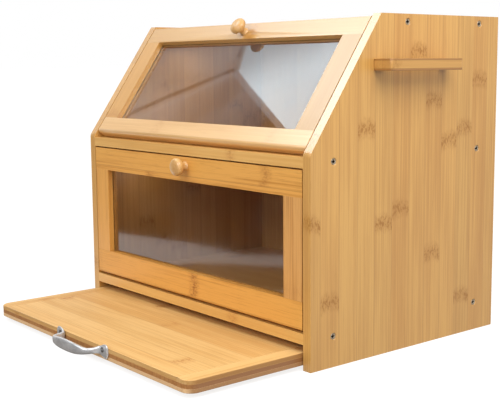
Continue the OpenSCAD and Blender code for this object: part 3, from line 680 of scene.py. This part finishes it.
# Screws through the side panels: distance from the front edge and height of each, then the head's and shank's
# diameters, the length, and how far the head lies below the panel's face
SIDE_SCREWS = [(124, 314.5), (230, 314.5), (28.3, 189.5), (230, 189.5), (28.3, 29), (230, 29)]
SCREW_HEAD = 7
SCREW_SHANK = 4
SCREW_LENGTH = 34
SCREW_SUNK = 0.4
for side, word in ((1, "right"), (-1, "left")):
    turned = Matrix.Rotation(side * math.pi / 2, 3, "Y")
    head_x = side * (PANEL_FACE - SCREW_SUNK)
    build_screws(word + "_screws", "cabinet", word + "_panel_screws", screw_steel, [
        (turned, Vector((head_x, FRONT + back, up)), SCREW_HEAD, SCREW_SHANK, SCREW_LENGTH)
        for back, up in SIDE_SCREWS
    ])


def board_corner(side):
    """A round front corner of the board, from its front edge to its side. side is 1 for the right one."""
    centre_x, centre_y = BOARD_HALF - BOARD_CORNER, BOARD_FRONT + BOARD_CORNER
    turns = [math.radians(90 * step / 12) for step in range(13)]
    return [
        (side * (centre_x + BOARD_CORNER * math.sin(turn)), centre_y - BOARD_CORNER * math.cos(turn))
        for turn in turns
    ]


def build_board():
    """Three plies on each other, the top one with a strip across its grain at either end."""
    strip_x = BOARD_HALF - END_STRIP
    core_low = BOARD_BASE + PLY
    core_high = core_low + PLY
    top = core_high + PLY
    left_corner, right_corner = board_corner(-1), board_corner(1)
    whole = [
        (-BOARD_HALF, BOARD_REAR), *reversed(left_corner), *right_corner, (BOARD_HALF, BOARD_REAR),
    ]
    ends = [
        [
            (side * strip_x, BOARD_REAR), (side * strip_x, BOARD_FRONT), *corner,
            (side * BOARD_HALF, BOARD_REAR),
        ]
        for side, corner in ((-1, left_corner), (1, right_corner))
    ]
    middle_part = [
        (-strip_x, BOARD_REAR), (-strip_x, BOARD_FRONT), (strip_x, BOARD_FRONT), (strip_x, BOARD_REAR),
    ]

    def soft_top(x, y, z):
        on_top = z > core_high + PLY / 2
        if abs(abs(x) - strip_x) < 0.1:
            return 0.4 if on_top else 0.1
        return 1.0 if on_top else 0.12

    def soft_core(x, y, z):
        return 0.1

    def soft_bottom(x, y, z):
        underneath = z < BOARD_BASE + PLY / 2
        return 0.9 if underneath else 0.1

    build_ply("top_ply", "board_top_ply", board_wood, [middle_part], core_high, top, soft_top)
    build_ply("end_strips", "board_end_strips", board_end_wood, ends, core_high, top, soft_top)
    build_ply("core_ply", "board_core_ply", core_wood, [whole], core_low, core_high, soft_core)
    build_ply("bottom_ply", "board_bottom_ply", under_wood, [whole], BOARD_BASE, core_low, soft_bottom)


build_board()


# ---------- Floor, light and camera ----------


# The studio that the panes mirror stands on upright planes in front and to the left, each at a distance of
# about 1.5 m. Points on them are given by how far they lie to the right, seen from the bin, and by height.
CARD_HEADING = math.radians(-60)
CARD_PIVOT_Y = -0.21
CARD_OUT = Vector((math.sin(CARD_HEADING), -math.cos(CARD_HEADING), 0))
CARD_SIDE = Vector((math.cos(CARD_HEADING), math.sin(CARD_HEADING), 0))


def stage_face(name, corners, s, shader_node, seen_by):
    """A flat face of the studio that only the named kinds of ray see."""
    mesh = bpy.data.meshes.new(name)
    mesh.from_pydata(corners, [], [tuple(range(len(corners)))])
    made = bpy.data.objects.new(name, mesh)
    bpy.context.scene.collection.objects.link(made)
    mesh.materials.append(s.surface(shader_node))
    for kind in ("camera", "diffuse", "glossy", "transmission", "volume_scatter", "shadow"):
        setattr(made, "visible_" + kind, kind in seen_by)


def glowing(name, corners, strength, colour=(1, 1, 1, 1), seen_by=("glossy",), fall=0.0, dim_left=0.0):
    """A card that glows. Its strength falls by fall in each metre to the right along CARD_SIDE, down to 0.1,
    and is the given one level with the origin. dim_left is the share that it loses at its left end."""
    s = Shader(name)
    place = s.add("TexCoord").outputs["Object"]
    right = s.add("VectorMath", {0: place, 1: CARD_SIDE}, operation="DOT_PRODUCT").outputs["Value"]
    if fall:
        strength = s.math("SUBTRACT", strength, s.math("MULTIPLY", right, fall))
        strength = s.math("MAXIMUM", strength, 0.1)
    if dim_left:
        strength = s.smooth(right, -0.26, -0.11, strength * (1 - dim_left), strength)
    glow = s.add("Emission", {"Color": colour, "Strength": strength})
    stage_face(name, corners, s, glow, seen_by)


def make_floor():
    """A wide pale floor. It glows by itself as well, so that it looks white all over."""
    half = 200.0
    corners = [(-half, -half, 0), (half, -half, 0), (half, half, 0), (-half, half, 0)]
    s = Shader("floor_white")
    glow = s.add("Emission", {"Color": (1, 1, 1, 1), "Strength": 0.79})
    paint = s.add("BsdfDiffuse", {"Color": (0.25, 0.25, 0.25, 1)})
    white = s.add("AddShader", {0: glow.outputs[0], 1: paint.outputs[0]})
    stage_face("floor", corners, s, white, ("camera", "glossy", "transmission", "shadow"))


def on_card(outline, distance):
    """Points of an outline on the upright plane at a distance in front of the bin."""
    pivot = CARD_OUT * distance + Vector((0, CARD_PIVOT_Y, 0))
    return [pivot + CARD_SIDE * right + Vector((0, 0, height)) for right, height in outline]


def make_softbox():
    """The light that the upper pane mirrors, and that lights the front from the left."""
    outline = [(-0.398, 1.395), (0.50, 1.52), (0.45, 2.75), (-0.95, 2.55), (-0.60, 1.68), (-0.47, 1.49)]
    glowing("softbox", on_card(outline, 1.5), 5.0, (0.80, 0.96, 1.03, 1), ("diffuse", "glossy"), dim_left=0.6)


def make_upright_cards():
    """What the upper pane mirrors round the softbox, and a screen behind the bin. Only reflections show them.
    The dark wall's glow ends before it is level with the origin, so its strength there is below 0."""
    dark_wall = [(-0.40, 0.0), (1.3, 0.0), (1.3, 1.6), (0.50, 1.51), (-0.40, 1.385)]
    glowing("dark_wall", on_card(dark_wall, 1.52), -0.16, (1.0, 0.88, 0.80, 1), fall=4.9)
    side_wall = [(-2.2, 0.0), (-0.41, 0.0), (-0.41, 3.0), (-2.2, 3.0)]
    glowing("side_wall", on_card(side_wall, 1.54), 0.92, (1.0, 0.88, 0.78, 1))
    light_stand = [(-0.425, 0.85), (-0.413, 0.85), (-0.399, 1.37), (-0.407, 1.37)]
    glowing("light_stand", on_card(light_stand, 1.48), 0.12)
    softbox_edge = [(-0.429, 1.418), (-0.484, 1.500), (-0.491, 1.494), (-0.436, 1.412)]
    glowing("softbox_edge", on_card(softbox_edge, 1.49), 0.2)
    rear_screen = [(-4.0, 0.9, 0.0), (0.3, 0.9, 0.0), (0.3, 0.9, 1.3), (-4.0, 0.9, 1.3)]
    glowing("rear_screen", rear_screen, 0.35, (1.0, 0.9, 0.8, 1))


def make_table_cards():
    """What the lower pane mirrors: the table, dark further off and brown close to the board."""
    lift = 0.002
    far_table = [
        (0.3, -0.66), (-0.20, -0.625), (-0.287, -0.545), (-0.408, -0.548), (-0.571, -0.512), (-1.6, -0.5),
        (-3.0, -3.0), (0.3, -3.0),
    ]
    glowing("far_table", [(x, y, lift) for x, y in far_table], 0.03)
    near_table = [
        (0.3, -0.39), (0.3, -0.64), (-0.173, -0.5386), (-0.2325, -0.499), (-0.282, -0.459), (-0.29, -0.39),
    ]
    glowing("near_table", [(x, y, lift) for x, y in near_table], 0.14, (1.0, 0.7, 0.46, 1))


def make_light(name, place, aim, size, power, colour=(1, 1, 1)):
    """A soft rectangular lamp at a place, turned towards aim."""
    lamp = bpy.data.lights.new(name, "AREA")
    lamp.shape = "RECTANGLE"
    lamp.size, lamp.size_y = size
    lamp.energy = power
    lamp.color = colour
    holder = bpy.data.objects.new(name, lamp)
    bpy.context.scene.collection.objects.link(holder)
    holder.location = place
    holder.rotation_euler = (Vector(aim) - Vector(place)).to_track_quat("-Z", "Y").to_euler()


def make_world():
    """White all round for whatever looks level or up, and darker from below the horizon."""
    world = bpy.data.worlds.new("studio")
    world.use_nodes = True
    tree = world.node_tree
    place = tree.nodes.new("ShaderNodeTexCoord")
    parts = tree.nodes.new("ShaderNodeSeparateXYZ")
    level = tree.nodes.new("ShaderNodeMapRange")
    level.inputs["From Min"].default_value = -0.055
    level.inputs["From Max"].default_value = -0.03
    level.inputs["To Min"].default_value = 0.35
    level.inputs["To Max"].default_value = 1.0
    tree.links.new(place.outputs["Generated"], parts.inputs[0])
    tree.links.new(parts.outputs["Z"], level.inputs["Value"])
    tree.links.new(level.outputs[0], tree.nodes["Background"].inputs["Strength"])
    tree.nodes["Background"].inputs["Color"].default_value = (1, 1, 1, 1)
    bpy.context.scene.world = world


def make_camera():
    """A long lens in front of the bin's right corner, looking slightly down."""
    lens = bpy.data.cameras.new("camera")
    lens.sensor_width = 36
    lens.lens = 71.0
    lens.clip_start = 0.05
    lens.clip_end = 1000
    camera = bpy.data.objects.new("camera", lens)
    bpy.context.scene.collection.objects.link(camera)
    heading, drop, roll = math.radians(50.99), math.radians(7.8), math.radians(-0.52)
    camera.matrix_world = (
        Matrix.Translation((0.824, -0.842, 0.2749))
        @ Matrix.Rotation(heading, 4, "Z")
        @ Matrix.Rotation(math.pi / 2 - drop, 4, "X")
        @ Matrix.Rotation(roll, 4, "Z")
    )
    bpy.context.scene.camera = camera


make_floor()
make_world()
make_softbox()
make_upright_cards()
make_table_cards()
BIN_MIDDLE = (0, -0.15, 0.17)
SMALL_LAMP = (0.06, 0.06)
WARM_WHITE = (1.0, 0.9, 0.8)
make_light("softbox_right", (0.62, -0.30, 0.76), BIN_MIDDLE, (0.55, 0.55), 4.6)
make_light("inside_upper", (-0.14, -0.13, 0.28), (-0.18, -0.12, 0.20), SMALL_LAMP, 0.010, WARM_WHITE)
make_light("inside_lower", (-0.14, -0.20, 0.15), (-0.18, -0.20, 0.10), SMALL_LAMP, 0.010, WARM_WHITE)
make_light("softbox_front", (0.35, -1.9, 1.1), BIN_MIDDLE, (1.0, 0.8), 13)
make_camera()
bpy.context.scene.view_settings.view_transform = "Standard"
